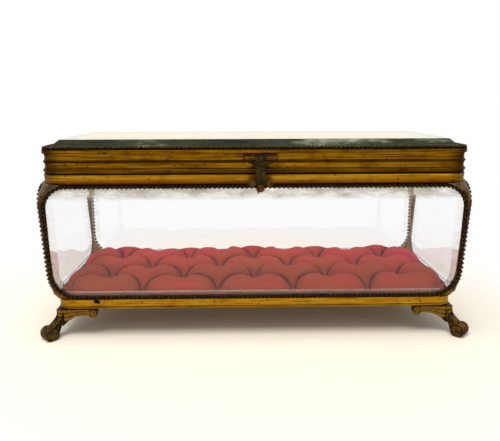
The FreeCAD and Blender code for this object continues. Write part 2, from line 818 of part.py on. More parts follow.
def make_hasp():
    # Fixed plate with two knuckles on the lid, a pin, and a strap with one knuckle and a finger knob.
    face = f"-{HALF_DEPTH} - hasp_plate_thickness"
    total = "3 * hasp_knuckle_length"
    start = "clasp_offset - 1.5 * hasp_knuckle_length"
    knuckles = [
        rod("hasp_knuckle", "X", f"{start} + {index} * hasp_knuckle_length + knuckle_gap / 2",
            HASP_Y, HASP_Z, "hasp_knuckle_radius", "hasp_knuckle_length - knuckle_gap")
        for index in range(3)
    ]
    room = rod("hasp_room", "X", f"{start} + hasp_knuckle_length - knuckle_gap / 2", HASP_Y, HASP_Z,
               "hasp_knuckle_radius + turning_gap", "hasp_knuckle_length + knuckle_gap")
    bore = rod("hasp_bore", "X", f"{start} - knuckle_gap", HASP_Y, HASP_Z,
               "hasp_pin_radius + running_fit", f"{total} + 2 * knuckle_gap")
    plate_bottom = f"{HASP_Z} - hasp_plate_height / 2"
    plate = box("hasp_back", "clasp_offset - hasp_plate_length / 2", face, plate_bottom,
                "hasp_plate_length", "hasp_plate_thickness", "hasp_plate_height")
    trimmed = cut("hasp_back_trimmed", plate, room)
    joined = fuse("hasp_back_joined", [trimmed, knuckles[0], knuckles[2]])
    keep("hasp_hinge_plate", cut("hasp_back_bored", joined, bore))
    keep("hasp_pin", rod("hasp_pin", "X", start, HASP_Y, HASP_Z, "hasp_pin_radius", total))

    # The strap is its bent side view cut to its front outline.
    back_low = f"-({HALF_DEPTH} + flare + catch_standoff + catch_plate + turning_gap)"
    back_high = f"({HASP_Y} - hasp_knuckle_radius / 3)"
    strap_end = f"{HASP_Z} - hasp_length"
    bend_high = f"{SEAM} + hasp_neck / 3"
    bend_low = f"{RIM_BOTTOM} + hasp_neck / 2"
    side_view = new_body("hasp_side")
    sketch = new_sketch(side_view, "YZ_Plane", out="clasp_offset")
    draw(sketch, [
        (f"{back_low} - hasp_strap", strap_end),
        (back_low, strap_end),
        (back_low, bend_low),
        (back_high, bend_high),
        (back_high, HASP_Z),
        (f"{back_high} - hasp_strap", HASP_Z),
        (f"{back_high} - hasp_strap", f"{bend_high} + hasp_strap / 2"),
        (f"{back_low} - hasp_strap", f"{bend_low} + hasp_strap / 2"),
    ])
    pad(side_view, sketch, "hasp_shoulder", even=True)

    front_view = new_body("hasp_front")
    sketch = new_sketch(front_view, "XZ_Plane", across="clasp_offset")
    tongue = "hasp_knuckle_length / 2 - knuckle_gap"
    shoulder = "hasp_shoulder / 2"
    neck = "hasp_neck / 2"
    shoulder_top = f"{HASP_Z} - hasp_knuckle_radius - turning_gap"
    shoulder_low = f"{shoulder_top} - hasp_knuckle_radius"
    sweep = f"({shoulder} - {neck})"
    neck_top = f"{shoulder_low} - {sweep}"
    draw(sketch, [
        ("-hasp_end", f"{strap_end} + hasp_end", "hasp_end"),
        ("0", strap_end, "hasp_end"),
        ("hasp_end", f"{strap_end} + hasp_end"),
        (neck, f"{strap_end} + 2 * hasp_end"),
        (neck, neck_top, sweep, True),
        (shoulder, shoulder_low),
        (shoulder, shoulder_top),
        (tongue, shoulder_top),
        (tongue, HASP_Z),
        (f"-({tongue})", HASP_Z),
        (f"-({tongue})", shoulder_top),
        (f"-({shoulder})", shoulder_top),
        (f"-({shoulder})", shoulder_low, sweep, True),
        (f"-({neck})", neck_top),
        (f"-({neck})", f"{strap_end} + 2 * hasp_end"),
    ])
    pad(front_view, sketch, f"{HALF_DEPTH} + 4 * flare")
    strap = common("hasp_blade", side_view, front_view)
    keep("hasp_strap", cut("hasp_strap_bored", fuse("hasp_strap_joined", [strap, knuckles[1]]), bore))

    knob = new_body("hasp_knob")
    sketch = new_sketch(knob, "XY_Plane", out=f"{strap_end} + hasp_end")
    root = f"-({back_low}) + hasp_strap"
    draw(sketch, [
        ("clasp_offset", f"-({root})"),
        ("clasp_offset", f"-({root} + hasp_knob_height)", "hasp_knob * 1.4"),
        ("clasp_offset + hasp_knob", f"-({root} + hasp_knob_height * 0.5)"),
        ("clasp_offset + hasp_knob * 0.5", f"-({root})"),
    ])
    turned = knob.newObject("PartDesign::Revolution", "hasp_knob_turned")
    turned.Profile = sketch
    turned.ReferenceAxis = (sketch, ["Edge1"])
    turned.Angle = 360
    keep("hasp_knob", knob)


def make_catch():
    # Cast catch: a foot on the rim's face, a shelf over the lip and a trefoil plate whose two lobes
    # grip the sides of the strap.
    plate_back = f"({HALF_DEPTH} + flare + catch_standoff)"
    shelf_bottom = f"{RIM_BOTTOM} + 2 * rim_lip + fit_gap"
    shelf_top = f"{shelf_bottom} + catch_shelf"
    half = "(hasp_neck / 2 + cheek_gap)"
    lobe_x = f"({half} + catch_lobe)"
    lobe_z = f"{shelf_top} - catch_lobe / 2"
    wide = f"({half} + catch_lobe / 2)"
    foot = box("catch_foot", f"clasp_offset - {half}", f"-{HALF_DEPTH} - catch_plate", shelf_bottom,
               f"2 * {half}", "catch_plate", "catch_shelf * 3")
    shelf = box("catch_arm", f"clasp_offset - {half}", f"-{plate_back} - catch_plate / 2", shelf_bottom,
                f"2 * {half}", f"{plate_back} - {HALF_DEPTH} + catch_plate / 2", "catch_shelf")
    plate = new_body("catch_trefoil")
    sketch = new_sketch(plate, "XZ_Plane", across="clasp_offset", out=plate_back)
    draw(sketch, [
        (f"-{wide}", lobe_z),
        ("-catch_skew", f"{lobe_z} - catch_tip"),
        (wide, lobe_z),
        (wide, shelf_top),
        (f"-{wide}", shelf_top),
    ])
    pad(plate, sketch, "catch_plate")
    cheeks = []
    for sign in (-1, 1):
        cheek = new_body("catch_cheek")
        middle = f"{sign} * ({lobe_x})"
        sketch = new_sketch(cheek, "XZ_Plane", across="clasp_offset", out=plate_back)
        draw(sketch, [
            (f"{middle} + catch_lobe", lobe_z, "catch_lobe_round"),
            (middle, f"{lobe_z} + catch_lobe_rise", "catch_lobe_round"),
            (f"{middle} - catch_lobe", lobe_z, "catch_lobe_round"),
            (middle, f"{lobe_z} - catch_lobe_rise", "catch_lobe_round"),
        ])
        pad(cheek, sketch, "catch_plate + turning_gap + hasp_strap")
        cheeks.append(cheek)
    keep("catch_plate", fuse("catch", [foot, shelf, plate] + cheeks))


make_lower_rail()
make_upper_rim()
make_lid_frame()
make_lid_border()
make_lid_glass()
make_case_frame()
make_floor()
make_cushion()
make_feet()
make_lid_hinges()
make_hasp()
make_catch()
doc.recompute()

for thing in doc.Objects:
    if {"Invalid", "Error"} & set(thing.State):
        raise RuntimeError(f"{thing.Label} did not build: {thing.State}")
for label, thing in pieces.items():
    if thing.Shape.isNull() or not thing.Shape.isValid() or not thing.Shape.Solids:
        raise RuntimeError(f"{label} has no valid solid")

os.makedirs("parts", exist_ok=True)
for label, thing in pieces.items():
    thing.Shape.exportStep(f"parts/{label}.step")
    print(f"{label}: {len(thing.Shape.Solids)} solid(s), {thing.Shape.Volume:.1f} mm3")
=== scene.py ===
import math

import bpy
import numpy as np
from mathutils import Matrix


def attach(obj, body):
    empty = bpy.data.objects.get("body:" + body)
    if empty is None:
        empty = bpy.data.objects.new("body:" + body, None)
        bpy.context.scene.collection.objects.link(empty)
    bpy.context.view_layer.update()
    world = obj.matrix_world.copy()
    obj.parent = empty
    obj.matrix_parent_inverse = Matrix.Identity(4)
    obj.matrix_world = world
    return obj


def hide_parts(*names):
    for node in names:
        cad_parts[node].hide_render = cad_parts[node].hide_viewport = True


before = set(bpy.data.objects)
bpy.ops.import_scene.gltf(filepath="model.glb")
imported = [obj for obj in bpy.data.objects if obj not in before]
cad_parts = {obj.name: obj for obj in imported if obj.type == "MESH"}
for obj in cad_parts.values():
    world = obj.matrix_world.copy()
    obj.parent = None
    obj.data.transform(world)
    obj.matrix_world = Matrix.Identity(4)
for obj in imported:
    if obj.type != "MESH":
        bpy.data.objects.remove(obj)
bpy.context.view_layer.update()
scene = bpy.context.scene
scene.view_settings.view_transform = "Standard"
mm = 0.001
print("frame loaded:", len(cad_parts), "nodes")

# the camera, where the photograph was taken from: mm and degrees, focal length and width in pixels
viewpoint = dict(place=(-11.0, -416.6, 167.3), yaw=1.083, pitch=12.693, roll=-0.152,
                 focal=531.6, width=500, sensor=36.0, nearest=10.0)


def setCamera(view):
    # level basis from yaw and pitch, then turned by the roll about the line of sight
    yaw, pitch, roll = np.radians((view["yaw"], view["pitch"], view["roll"]))
    ahead = np.array((math.sin(yaw) * math.cos(pitch), math.cos(yaw) * math.cos(pitch), -math.sin(pitch)))
    level = np.array((math.cos(yaw), -math.sin(yaw), 0.0))
    rise = np.cross(level, ahead)
    turn = np.eye(4)
    turn[:3, 0] = math.cos(roll) * level + math.sin(roll) * rise
    turn[:3, 1] = math.cos(roll) * rise - math.sin(roll) * level
    turn[:3, 2] = -ahead
    turn[:3, 3] = np.array(view["place"]) * mm
    lens = bpy.data.cameras.new("photoCamera")
    lens.sensor_width = view["sensor"]
    lens.lens = view["sensor"] * view["focal"] / view["width"]
    lens.clip_start = view["nearest"] * mm
    eye = bpy.data.objects.new("photoCamera", lens)
    eye.matrix_world = Matrix(turn.tolist())
    scene.collection.objects.link(eye)
    scene.camera = eye


setCamera(viewpoint)
print("camera set")


def linear(hexText):
    # sRGB hex to the linear colour that a socket takes
    value = np.array([int(hexText[i:i + 2], 16) for i in (1, 3, 5)]) / 255
    return (*np.where(value <= 0.04045, value / 12.92, ((value + 0.055) / 1.055) ** 2.4), 1.0)


def addNode(tree, kind, settings=None, links=None, stops=None):
    # one node: settings name a property or an input, links name inputs, stops fill a colour ramp
    made = tree.nodes.new("ShaderNode" + kind)
    for name, value in (settings or {}).items():
        if isinstance(name, str) and hasattr(made, name):
            setattr(made, name, value)
        else:
            made.inputs[name].default_value = value
    for name, source in (links or {}).items():
        tree.links.new(source, made.inputs[name])
    if stops:
        marks = made.color_ramp.elements
        marks[0].position, marks[1].position = stops[0][0], stops[-1][0]
        marks[0].color, marks[1].color = linear(stops[0][1]), linear(stops[-1][1])
        for place, tone in stops[1:-1]:
            marks.new(place).color = linear(tone)
    return made


def newMaterial(name, **plain):
    # a material with its Principled node, plain values set on its own sockets
    made = bpy.data.materials.new(name)
    made.use_nodes = True
    tree = made.node_tree
    shader = tree.nodes["Principled BSDF"]
    for socket, value in plain.items():
        shader.inputs[socket.replace("_", " ")].default_value = value
    return made, tree, shader


def perMm(x, y, z):
    # Mapping scale that makes one noise step x, y, z mm long
    return (1 / (x * mm), 1 / (y * mm), 1 / (z * mm))


def overBands(bands):
    # tones at places in mm along an axis: the range from the first to the last, and ramp stops from 0 to 1
    low, high = bands[0][0], bands[-1][0]
    stops = [((at - low) / (high - low), tone) for at, tone in bands]
    return {"From Min": low * mm, "From Max": high * mm}, stops


def giltBrass(name, look):
    # Gilt brass strip, rolled, lacquered and handled for a century: warm ochre metal with thin streaks along
    # the strip, brown patina left in the grooves, a few black pits, and painted shade at the seam and the
    # ends.
    made, tree, shader = newMaterial(name, Metallic=1.0)
    where = addNode(tree, "TexCoord").outputs["Object"]
    axis = addNode(tree, "SeparateXYZ", None, {"Vector": where}).outputs
    along = addNode(tree, "Mapping", {"Scale": perMm(*look["streak"])}, {"Vector": where})
    streak = addNode(tree, "TexNoise", {"Scale": 1.0, "Detail": 4.0, "Roughness": 0.6},
                     {"Vector": along.outputs[0]}).outputs["Fac"]
    tone = addNode(tree, "ValToRGB", None, {"Fac": streak},
                   [(0.30, look["low"]), (0.47, look["mid"]), (0.70, look["high"])])
    spread = addNode(tree, "Mapping", {"Scale": perMm(*look["blotch"])}, {"Vector": where})
    blotch = addNode(tree, "TexNoise", {"Scale": 1.0, "Detail": 5.0, "Roughness": 0.65},
                     {"Vector": spread.outputs[0]})
    patch = addNode(tree, "MapRange", {"From Min": 0.5, "From Max": 0.78, "To Max": look["tarnish"]},
                    {"Value": blotch.outputs["Fac"]})
    # bands at their own heights: patina in the moulding's grooves, and painted shade along the seam of lid
    # and rim
    span, stops = overBands(look["bands"])
    level = addNode(tree, "MapRange", span, {"Value": axis["Z"]})
    grooveAndSeamShade = addNode(tree, "ValToRGB", None, {"Fac": level.outputs[0]}, stops)
    # painted shade at the ends, where the strip bends round the corners
    start, full = look["bend"]
    reach = addNode(tree, "Math", {"operation": "ABSOLUTE"}, {0: axis["X"]})
    bend = addNode(tree, "MapRange", {"From Min": start * mm, "From Max": full * mm, "To Max": look["ends"]},
                   {"Value": reach.outputs[0]})
    # fine pits all over, and single scars at their own places
    grit = addNode(tree, "Mapping", {"Scale": perMm(*look["grit"])}, {"Vector": where})
    pits = addNode(tree, "TexVoronoi", {"Scale": 1.0}, {"Vector": grit.outputs[0]})
    mark = addNode(tree, "MapRange", {"From Min": 0.12, "From Max": 0.06, "To Max": 0.9},
                   {"Value": pits.outputs["Distance"]})
    for spot, size in look["scars"]:
        centre = tuple(mm * v for v in spot)
        far = addNode(tree, "VectorMath", {"operation": "DISTANCE", 1: centre}, {0: where})
        near = addNode(tree, "MapRange", {"From Min": 1.2 * size * mm, "From Max": 0.7 * size * mm},
                       {"Value": far.outputs["Value"]})
        mark = addNode(tree, "Math", {"operation": "MAXIMUM"}, {0: mark.outputs[0], 1: near.outputs[0]})
    colour = tone.outputs[0]
    for mask, layerTone in ((patch, "patinaAndShade"), (grooveAndSeamShade, "patinaAndShade"), (bend, "patinaAndShade"), (mark, "pit")):
        layer = addNode(tree, "Mix", {"data_type": "RGBA", 7: linear(look[layerTone])},
                        {0: mask.outputs[0], 6: colour})
        colour = layer.outputs[2]
    tree.links.new(colour, shader.inputs["Base Color"])
    dull = addNode(tree, "MapRange", {"From Min": 0.3, "From Max": 0.75, "To Min": look["dullest"],
                                      "To Max": look["shiniest"]}, {"Value": streak})
    tree.links.new(dull.outputs[0], shader.inputs["Roughness"])
    dent = addNode(tree, "Bump", {"Strength": 0.35, "Distance": 0.12 * mm}, {"Height": streak})
    tree.links.new(dent.outputs[0], shader.inputs["Normal"])
    return made


def patinatedBrass(name, look):
    # Cast brass with an old brown skin: grey-brown in the hollows, rubbed back to gold on what stands proud.
    made, tree, shader = newMaterial(name, Metallic=look["metal"])
    where = addNode(tree, "TexCoord").outputs["Object"]
    spread = addNode(tree, "Mapping", {"Scale": perMm(*look["grain"])}, {"Vector": where})
    blotch = addNode(tree, "TexNoise", {"Scale": 1.0, "Detail": 6.0, "Roughness": 0.7},
                     {"Vector": spread.outputs[0]}).outputs["Fac"]
    proud = addNode(tree, "Attribute", {"attribute_name": "proud"})
    rub = addNode(tree, "Math", {"operation": "MULTIPLY_ADD", 1: look["rub"]},
                  {0: proud.outputs["Fac"], 2: blotch})
    # an inside entry paints light on the inner faces
    if "inside" in look:
        rub = innerFaceLight(tree, where, rub, look["inside"])
    tone = addNode(tree, "ValToRGB", None, {"Fac": rub.outputs[0]},
                   [(0.28, look["low"]), (0.52, look["mid"]), (0.86, look["high"])])
    tree.links.new(tone.outputs[0], shader.inputs["Base Color"])
    dull = addNode(tree, "MapRange", {"From Min": 0.3, "From Max": 1.0, "To Min": 0.55, "To Max": 0.3},
                   {"Value": rub.outputs[0]})
    tree.links.new(dull.outputs[0], shader.inputs["Roughness"])
    dent = addNode(tree, "Bump", {"Strength": 0.4, "Distance": 0.15 * mm}, {"Height": blotch})
    tree.links.new(dent.outputs[0], shader.inputs["Normal"])
    return made


def innerFaceLight(tree, where, rub, inside):
    # painted light: the faces behind the walls' outer planes, which lean out as they climb, and below the
    # rounded shoulders are painted lighter
    apart = addNode(tree, "VectorMath", {"operation": "ABSOLUTE"}, {0: where})
    apart = addNode(tree, "SeparateXYZ", None, {"Vector": apart.outputs[0]}).outputs
    reach = addNode(tree, "Math", {"operation": "SUBTRACT", 1: inside["longer"] * mm}, {0: apart["X"]})
    reach = addNode(tree, "Math", {"operation": "MAXIMUM"}, {0: reach.outputs[0], 1: apart["Y"]})
    reach = addNode(tree, "Math", {"operation": "MULTIPLY_ADD", 1: -inside["slope"]},
                    {0: apart["Z"], 2: reach.outputs[0]})
    top, full = inside["shoulder"]
    share = addNode(tree, "MapRange", {"From Min": top * mm, "From Max": full * mm,
                                       "To Max": inside["share"]}, {"Value": apart["Z"]})
    outer, behind = inside["plane"]
    litInside = addNode(tree, "MapRange", {"From Min": outer * mm, "From Max": behind * mm},
                   {"Value": reach.outputs[0], "To Max": share.outputs[0]})
    return addNode(tree, "Math", {"operation": "ADD"}, {0: rub.outputs[0], 1: litInside.outputs[0]})


def bevelledGlass(name, look):
    # Hand-bevelled plate glass: clear, green in its thick edge, with a film along the bevel of dust and
    # painted light and shade; lamps shine straight through. Tones and film share their first and last
    # heights.
    made, tree, shader = newMaterial(name, Transmission_Weight=1.0, IOR=1.52, Roughness=0.0,
                                     Specular_IOR_Level=look["shine"])
    where = addNode(tree, "TexCoord").outputs["Object"]
    axis = addNode(tree, "SeparateXYZ", None, {"Vector": where}).outputs
    span, stops = overBands(look["tones"])
    level = addNode(tree, "MapRange", span, {"Value": axis["Z"]})
    tint = addNode(tree, "ValToRGB", None, {"Fac": level.outputs[0]}, stops)
    tree.links.new(tint.outputs[0], shader.inputs["Base Color"])
    spread = addNode(tree, "Mapping", {"Scale": perMm(*look["smear"])}, {"Vector": where})
    smear = addNode(tree, "TexNoise", {"Scale": 1.0, "Detail": 6.0, "Roughness": 0.7},
                    {"Vector": spread.outputs[0]}).outputs["Fac"]
    if "dull" in look:
        dull = addNode(tree, "MapRange", {"From Min": 0.5, "From Max": 0.9, "To Max": look["dull"]},
                       {"Value": smear})
        tree.links.new(dull.outputs[0], shader.inputs["Roughness"])
    # the film of dust and painted light and shade: thick where the noise is high and the place lies inside
    # its bands
    band = addNode(tree, "ValToRGB", None, {"Fac": level.outputs[0]}, overBands(look["dustAndLight"])[1])
    if "ends" in look:
        span, stops = overBands(look["ends"])
        side = addNode(tree, "Math", {"operation": "ABSOLUTE"}, {0: axis["X"]})
        side = addNode(tree, "MapRange", span, {"Value": side.outputs[0]})
        side = addNode(tree, "ValToRGB", None, {"Fac": side.outputs[0]}, stops)
        band = addNode(tree, "Math", {"operation": "MAXIMUM"}, {0: band.outputs[0], 1: side.outputs[0]})
    thin, thick = look["film"]
    patch = addNode(tree, "MapRange", {"From Min": 0.3, "From Max": 0.7, "To Min": thin, "To Max": thick},
                    {"Value": smear})
    film = addNode(tree, "Math", {"operation": "MULTIPLY"}, {0: band.outputs[0], 1: patch.outputs[0]})
    dirtAndLight = addNode(tree, "ValToRGB", None, {"Fac": smear}, look["dirtAndLight"])
    dustAndLight = addNode(tree, "BsdfDiffuse", None, {"Color": dirtAndLight.outputs[0]})
    filmed = addNode(tree, "MixShader", None, {0: film.outputs[0], 1: shader.outputs[0], 2: dustAndLight.outputs[0]})
    ray = addNode(tree, "LightPath").outputs
    lamps = addNode(tree, "Math", {"operation": "MAXIMUM"},
                    {0: ray["Is Shadow Ray"], 1: ray["Is Diffuse Ray"]})
    clear = addNode(tree, "BsdfTransparent")
    both = addNode(tree, "MixShader", None, {0: lamps.outputs[0], 1: filmed.outputs[0], 2: clear.outputs[0]})
    tree.links.new(both.outputs[0], tree.nodes["Material Output"].inputs["Surface"])
    return made


# gilt strips: noise steps, bends, heights and scars are in mm
giltStrip = dict(blotch=(14, 14, 9), grit=(9, 9, 4), bend=(131, 142), pit="#120A04")
lidGilt = giltBrass("giltBrassLid", dict(
    giltStrip, streak=(34, 34, 0.9), low="#764808", mid="#A2690A", high="#E0A624", patinaAndShade="#1E1105",
    tarnish=0.8, dullest=0.48, shiniest=0.34, ends=0.8,
    scars=[((-101.6, -56.0, 132.4), 1.3), ((-103.0, -56.0, 132.6), 0.9), ((-121.1, -55.5, 126.2), 0.9),
           ((128.0, -56.0, 131.0), 0.9)],
    # the lowest band, at the seam with the rim, is painted shade
    bands=[(119.3, "#FFFFFF"), (119.9, "#A0A0A0"), (120.5, "#000000"), (122.5, "#E0E0E0"),
           (123.2, "#303030"), (124.4, "#000000"), (126.0, "#101010"), (126.6, "#E0E0E0"),
           (128.0, "#E8E8E8"), (128.6, "#202020"), (129.6, "#000000"), (132.2, "#101010"),
           (132.8, "#A0A0A0"), (133.6, "#505050"), (136.0, "#808080")]))
rimGilt = giltBrass("giltBrassRim", dict(
    giltStrip, streak=(40, 40, 0.8), low="#A86A0A", mid="#E89E12", high="#FFCC46", patinaAndShade="#1E1106",
    tarnish=0.6, dullest=0.47, shiniest=0.33, ends=0.7, scars=[((98.0, -56.0, 114.6), 0.8)],
    # dark on the rim's lower edge and ledge; its top edge is painted shade at the seam, over the edge that
    # would shine
    bands=[(111.0, "#FFFFFF"), (112.7, "#FFFFFF"), (113.2, "#202020"), (117.8, "#000000"), (118.3, "#F8F8F8"),
           (119.2, "#FFFFFF")]))
railGilt = giltBrass("giltBrassRail", dict(
    giltStrip, streak=(26, 26, 0.8), low="#A8640A", mid="#E69C10", high="#FFD04A", patinaAndShade="#38200A",
    tarnish=0.6, dullest=0.46, shiniest=0.32, ends=0.35,
    scars=[((-115.2, -53.6, 26.5), 1.9), ((-113.6, -53.6, 25.9), 1.4), ((120.0, -53.6, 24.5), 0.7),
           ((-30.0, -53.6, 25.6), 0.6)],
    bands=[(20.7, "#B0B0B0"), (22.6, "#B0B0B0"), (23.2, "#101010"), (27.4, "#000000"), (28.8, "#606060")]))
# feet, clips and hinges: nearly black, gold on the reeds
castBrass = patinatedBrass("patinatedBrass", dict(
    metal=0.9, grain=(2.6, 2.6, 3.2), rub=0.42, low="#150E07", mid="#382814", high="#A67A26"))
# posts: dark outside, painted light on their inner faces, which are painted lighter and warmer; the box is 90
# mm longer than deep on each side of its middle, and its walls lean out by 2.5 degrees
postBrass = patinatedBrass("rubbedBrassLitInside", dict(
    metal=0.75, grain=(3.2, 3.2, 5.0), rub=0.42, low="#150E07", mid="#4C3412", high="#B08028",
    inside=dict(share=0.32, longer=90, slope=0.0437, shoulder=(94, 86), plane=(54.6, 53.6))))
# beads: the darkest brass, brown in the borders and greyer on the lid
beadBrass = patinatedBrass("beadedBrass", dict(
    metal=0.9, grain=(2.2, 2.2, 2.2), rub=0.24, low="#0E0702", mid="#241507", high="#573B12"))
lidBeadBrass = patinatedBrass("lidBeadBrass", dict(
    metal=0.9, grain=(2.2, 2.2, 2.2), rub=0.2, low="#120D07", mid="#2E2516", high="#625030"))
# hasp: olive-brown strap, warmer plates, and a copper knob worn pink
claspBrass = patinatedBrass("claspBrass", dict(
    metal=0.9, grain=(2.4, 2.4, 2.4), rub=0.3, low="#1C160A", mid="#3E3216", high="#7A6028"))
catchBrass = patinatedBrass("catchBrass", dict(
    metal=0.9, grain=(1.8, 1.8, 1.8), rub=0.3, low="#20140A", mid="#6E4C18", high="#C2923A"))
knobCopper = patinatedBrass("knobCopper", dict(
    metal=0.9, grain=(1.6, 1.6, 1.6), rub=0.3, low="#1C0D06", mid="#6A3A1E", high="#D08E5E"))
# wall panels: nearly colourless, dusty by the side bevels and hazy under the rim; on the bottom bevel a pale
# film is dust and painted light, with a painted highlight line at its top
panelGlass = bevelledGlass("bevelledPanelGlass", dict(
    smear=(16, 16, 5), shine=0.1, film=(0.15, 0.9), dirtAndLight=[(0.32, "#F6F1E6"), (0.68, "#8A7664")],
    tones=[(29.0, "#EDF2ED"), (36.0, "#FFFFFF"), (104.0, "#FFFFFF"), (112.0, "#F4F4EE")],
    # from 29 to 35.3 mm: dust and painted light on the bottom bevel, the bright line at 34.4 to 34.9 mm a
    # painted highlight
    dustAndLight=[(29.0, "#8A8A8A"), (34.0, "#808080"), (34.4, "#D8D8D8"), (34.9, "#D8D8D8"), (35.3, "#000000"),
          (100.8, "#000000"), (104.6, "#D0D0D0"), (112.0, "#FFFFFF")],
    ends=[(137.5, "#000000"), (138.6, "#606060"), (143.4, "#606060"), (145.2, "#303030"),
          (150.0, "#303030")]))
# lid: a thick slab; on its bevel a near-opaque grey-green film, dark with pale streaks, paints the shade and
# reflections that the bevel shows, deep enough to hide what lies under it
lidGlass = bevelledGlass("bevelledLidGlass", dict(
    smear=(60, 30, 12), shine=0.5, dull=0.05, film=(0.8, 0.95),
    dirtAndLight=[(0.36, "#20231A"), (0.52, "#3A3D2D"), (0.70, "#A0A488")],
    tones=[(132.4, "#FFFFFF"), (133.6, "#FFFFFF"), (134.2, "#7F967C"), (141.2, "#A3B59C"), (141.5, "#FFFBEE"),
           (141.7, "#FFFBEE")],
    dustAndLight=[(132.4, "#000000"), (134.0, "#000000"), (134.3, "#FFFFFF"), (141.2, "#FFFFFF"), (141.45, "#000000"),
          (141.7, "#000000")]))


def dress(names, finish):
    for name in names:
        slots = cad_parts[name].data.materials
        slots.clear()
        slots.append(finish)


corners = ("front_left", "front_right", "rear_left", "rear_right")
sides = ("front", "rear", "left", "right")
dress(["lid_frame"], lidGilt)
dress(["upper_rim"], rimGilt)
dress(["lower_rail"], railGilt)
dress([f"corner_post_{c}" for c in corners] + ["rear_border"], postBrass)
dress([f"foot_{c}" for c in corners], castBrass)
dress([f"{s}_border" for s in sides if s != "rear"] + ["lid_border"], beadBrass)
dress([f"{s}_glass" for s in sides], panelGlass)
dress(["lid_glass"], lidGlass)
dress([f"{s}_clips" for s in sides], castBrass)
dress([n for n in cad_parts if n.startswith("hinge_")], castBrass)
dress(["hasp_strap"], claspBrass)
dress(["hasp_hinge_plate", "hasp_pin", "catch_plate", "floor_plate"], catchBrass)
dress(["hasp_knob"], knobCopper)
# pulp board under the cushion, brown with age
dress(["cushion_board"], newMaterial("pulpBoard", Roughness=0.9, Base_Color=linear("#4A3422"))[0])
print("materials set on the CAD nodes")

# stage: a pale table, a studio that is dimmer in front than behind, and one soft box above; metres and watts
studio = dict(table="#F8EFDC", tableSize=6.0, fade=(0.14, 0.30), world=0.58, room=0.45, window=1.2,
              windowTone="#FFFBEA", roomSpan=(-0.9, 0.3), inBrass=0.55, inGlass=0.12,
              keyWatts=12.0, keySize=0.8, keyPlace=(-0.15, -0.32, 1.16), keyAim=(0, 0, 0.05))


def rayMasks(tree):
    # 1 for what is seen directly or through glass, and 1 for what is mirrored in metal or glass
    ray = addNode(tree, "LightPath").outputs
    plain = addNode(tree, "Math", {"operation": "MAXIMUM"},
                    {0: ray["Is Camera Ray"], 1: ray["Is Transmission Ray"]})
    mirror = addNode(tree, "Math", {"operation": "SUBTRACT", "use_clamp": True},
                     {0: ray["Is Glossy Ray"], 1: ray["Is Transmission Ray"]})
    return ray, plain.outputs[0], mirror.outputs[0]


def setTable(look):
    half = look["tableSize"] / 2
    flat = bpy.data.meshes.new("table")
    corner = [(-half, -half, 0), (half, -half, 0), (half, half, 0), (-half, half, 0)]
    flat.from_pydata(corner, [], [(0, 1, 2, 3)])
    table = bpy.data.objects.new("table", flat)
    scene.collection.objects.link(table)
    # Painted board, matt and pale: away from the box it goes white as the backdrop is, and it is dimmer in
    # a mirror, most of all in clear glass.
    made, tree, shader = newMaterial("paleTable", Roughness=0.8, Base_Color=linear(look["table"]))
    where = addNode(tree, "TexCoord").outputs["Object"]
    far = addNode(tree, "VectorMath", {"operation": "LENGTH"}, {0: where})
    start, full = look["fade"]
    fade = addNode(tree, "MapRange", {"interpolation_type": "SMOOTHSTEP", "From Min": start,
                                      "From Max": full}, {"Value": far.outputs["Value"]})
    ray, plain, mirror = rayMasks(tree)
    white = addNode(tree, "Math", {"operation": "MULTIPLY"}, {0: plain, 1: fade.outputs[0]})
    seen = addNode(tree, "Math", {"operation": "MAXIMUM"}, {0: white.outputs[0], 1: mirror})
    sharp = addNode(tree, "MapRange", {"To Min": look["inBrass"], "To Max": look["inGlass"]},
                    {"Value": ray["Is Singular Ray"]})
    strength = addNode(tree, "MapRange", {"To Min": 1.0}, {"Value": mirror, "To Max": sharp.outputs[0]})
    glow = addNode(tree, "Emission", None, {"Strength": strength.outputs[0]})
    both = addNode(tree, "MixShader", None, {0: seen.outputs[0], 1: shader.outputs[0], 2: glow.outputs[0]})
    tree.links.new(both.outputs[0], tree.nodes["Material Output"].inputs["Surface"])
    flat.materials.append(made)


def setWorld(look):
    world = bpy.data.worlds.new("studio")
    world.use_nodes = True
    scene.world = world
    tree = world.node_tree
    plain, mirror = rayMasks(tree)[1:]
    level = addNode(tree, "MapRange", {"To Min": look["world"], "To Max": 1.0}, {"Value": plain})
    # the room is dimmer in front of the table than behind it, as mirrored in metal and glass
    where = addNode(tree, "TexCoord").outputs["Generated"]
    way = addNode(tree, "SeparateXYZ", None, {"Vector": where})
    front, rear = look["roomSpan"]
    room = addNode(tree, "MapRange", {"From Min": front, "From Max": rear, "To Min": look["room"],
                                      "To Max": look["window"]}, {"Value": way.outputs["Y"]})
    level = addNode(tree, "Mix", {"data_type": "FLOAT"}, {0: mirror, 2: level.outputs[0], 3: room.outputs[0]})
    tone = addNode(tree, "Mix", {"data_type": "RGBA", 6: linear("#FFFFFF"), 7: linear(look["windowTone"])},
                   {0: mirror})
    back = tree.nodes["Background"]
    tree.links.new(tone.outputs[2], back.inputs["Color"])
    tree.links.new(level.outputs[0], back.inputs["Strength"])


def setLamp(look):
    # a disc that faces its aim: its back points from the aim to its place
    lamp = bpy.data.lights.new("softBox", "AREA")
    lamp.shape = "DISK"
    lamp.size = look["keySize"]
    lamp.energy = look["keyWatts"]
    place = np.array(look["keyPlace"])
    back = place - np.array(look["keyAim"])
    back = back / np.linalg.norm(back)
    side = np.cross((0, 1, 0), back)
    side = side / np.linalg.norm(side)
    turn = np.eye(4)
    turn[:3] = np.column_stack([side, np.cross(back, side), back, place])
    key = bpy.data.objects.new("softBox", lamp)
    key.matrix_world = Matrix(turn.tolist())
    key.visible_glossy = False  # its round face isn't mirrored in the bevel
    scene.collection.objects.link(key)


setTable(studio)
setWorld(studio)
setLamp(studio)
print("stage set")


